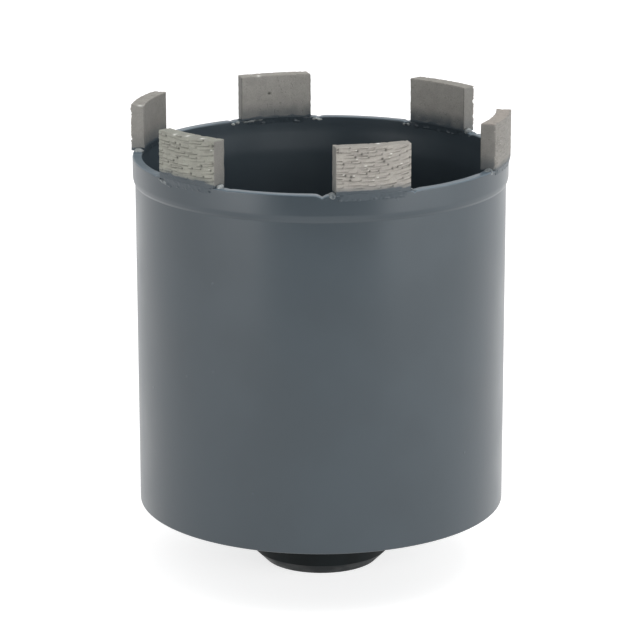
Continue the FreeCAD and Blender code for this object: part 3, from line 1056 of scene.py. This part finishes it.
class OBJECT_OT_core_bit_foot_welds(bpy.types.Operator):
    """Add the weld round the foot of each segment"""
    bl_idname = "object.core_bit_foot_welds"
    bl_label = "Foot welds"

    def execute(self, context):
        material = bead_material()
        for number, plan, angle in planned_segments():
            piece = foot_weld(plan, angle, 700 + 10 * number)
            put_on(piece, f"foot_weld_{number}", f"segment_weld_{number}", material)
        return {"FINISHED"}


def soft_box(name, place, size, power):
    """An area light of the given width and height that faces the middle of the bit."""
    light = bpy.data.lights.new(name, "AREA")
    light.shape = "RECTANGLE"
    light.size, light.size_y = size
    light.energy = power
    lamp = bpy.data.objects.new(name, light)
    lamp.location = place
    aim = Vector((0, 0, 0.05)) - lamp.location
    lamp.rotation_euler = aim.to_track_quat("-Z", "Y").to_euler()
    bpy.context.scene.collection.objects.link(lamp)


def floor_material():
    """White to the camera and in gloss, with the bit's soft shadow kept, and open from below."""
    shader = Shader("white studio floor")
    diffuse = shader.node("ShaderNodeBsdfDiffuse", inputs={"Color": (0.62, 0.62, 0.62, 1)})
    glow = shader.node("ShaderNodeEmission", inputs={"Strength": 0.72})
    lit = shader.node("ShaderNodeAddShader", inputs={0: diffuse, 1: glow})
    seen = sum(shader.node("ShaderNodeLightPath", output=f"Is {kind} Ray")
               for kind in ("Camera", "Glossy", "Transmission"))
    white = shader.node("ShaderNodeMixShader", inputs={0: seen > 0.5, 1: diffuse, 2: lit})
    back = shader.node("ShaderNodeNewGeometry", output="Backfacing")
    clear = shader.node("ShaderNodeBsdfTransparent")
    ends = shader.node("ShaderNodeMixShader", inputs={0: back, 1: white, 2: clear})
    shader.node("ShaderNodeOutputMaterial", inputs={"Surface": ends})
    return shader.owner


def studio_world():
    """White behind and above the bit, and a dim room in front of it. The camera sees white."""
    shader = Shader("studio", bpy.data.worlds)
    way = shader.node("ShaderNodeTexCoord", output="Generated")
    depth, rise = (shader.node("ShaderNodeSeparateXYZ", inputs={0: way}, output=axis) for axis in "YZ")
    behind = shader.step(depth + 0.7 * rise, -0.3, 0.42)
    seen = shader.node("ShaderNodeLightPath", output="Is Camera Ray")
    room = shader.node("ShaderNodeBackground", inputs={"Strength": 0.08 + 0.92 * behind})
    white = shader.node("ShaderNodeBackground", inputs={"Color": (1, 1, 1, 1)})
    both = shader.node("ShaderNodeMixShader", inputs={0: seen, 1: room, 2: white})
    shader.node("ShaderNodeOutputWorld", inputs={"Surface": both})
    return shader.owner


class OBJECT_OT_core_bit_stage(bpy.types.Operator):
    """Add the floor, the studio lights and the camera"""
    bl_idname = "object.core_bit_stage"
    bl_label = "Stage"

    def execute(self, context):
        start_clean()
        floor_size, front_edge = 8.0, -0.32
        bpy.ops.mesh.primitive_plane_add(size=floor_size, location=(0, floor_size / 2 + front_edge, 0))
        floor = context.active_object
        floor.name = "studio_floor"
        floor.data.materials.append(floor_material())

        soft_box("left soft box", (-0.68, -0.50, 0.07), (0.6, 0.34), 3.1)
        soft_box("right soft box", (0.75, -0.42, 0.10), (0.7, 0.44), 4.3)
        soft_box("front soft box", (0.45, -1.4, 0.50), (1.3, 0.5), 7.4)
        soft_box("top soft box", (0.3, 0.0, 0.95), (0.8, 0.6), 2.2)
        context.scene.world = studio_world()

        view = bpy.data.cameras.new("photo camera")
        view.lens = 173.73
        view.sensor_width = 36.0
        view.shift_x = -0.00143
        camera = bpy.data.objects.new("photo camera", view)
        camera.location = (0, -0.6509, 0.23469)
        camera.rotation_euler = (math.radians(74.5), 0.00133, -0.00037)
        context.scene.collection.objects.link(camera)
        context.scene.camera = camera
        context.scene.view_settings.view_transform = "Standard"
        return {"FINISHED"}


OPERATORS = (
    OBJECT_OT_core_bit_barrel, OBJECT_OT_core_bit_disc, OBJECT_OT_core_bit_hub,
    OBJECT_OT_core_bit_ring_welds, OBJECT_OT_core_bit_segments, OBJECT_OT_core_bit_foot_welds,
    OBJECT_OT_core_bit_stage,
)


class VIEW3D_PT_core_bit(bpy.types.Panel):
    """Sizes, colours and steps of the core bit"""
    bl_label = "Core bit"
    bl_space_type = "VIEW_3D"
    bl_region_type = "UI"
    bl_category = "Core bit"

    def draw(self, context):
        for name in GROUPS:
            group = getattr(context.scene, name)
            for key in group.bl_rna.properties.keys():
                if key not in ("rna_type", "name"):
                    self.layout.prop(group, key)
        for operator in OPERATORS:
            self.layout.operator(operator.bl_idname)


GROUPS = {
    "core_bit_barrel": BarrelSizes,
    "core_bit_hub": HubSizes,
    "core_bit_segments": SegmentSizes,
    "core_bit_colours": Colours,
}


def register():
    for group in GROUPS.values():
        bpy.utils.register_class(group)
    for name, group in GROUPS.items():
        setattr(bpy.types.Scene, name, PointerProperty(type=group))
    for item in (*OPERATORS, VIEW3D_PT_core_bit):
        bpy.utils.register_class(item)


def unregister():
    for item in reversed((*OPERATORS, VIEW3D_PT_core_bit)):
        bpy.utils.unregister_class(item)
    for name, group in GROUPS.items():
        delattr(bpy.types.Scene, name)
        bpy.utils.unregister_class(group)


def main():
    register()
    for operator in OPERATORS:
        getattr(bpy.ops.object, operator.bl_idname.removeprefix("object."))()


if __name__ == "__main__":
    main()
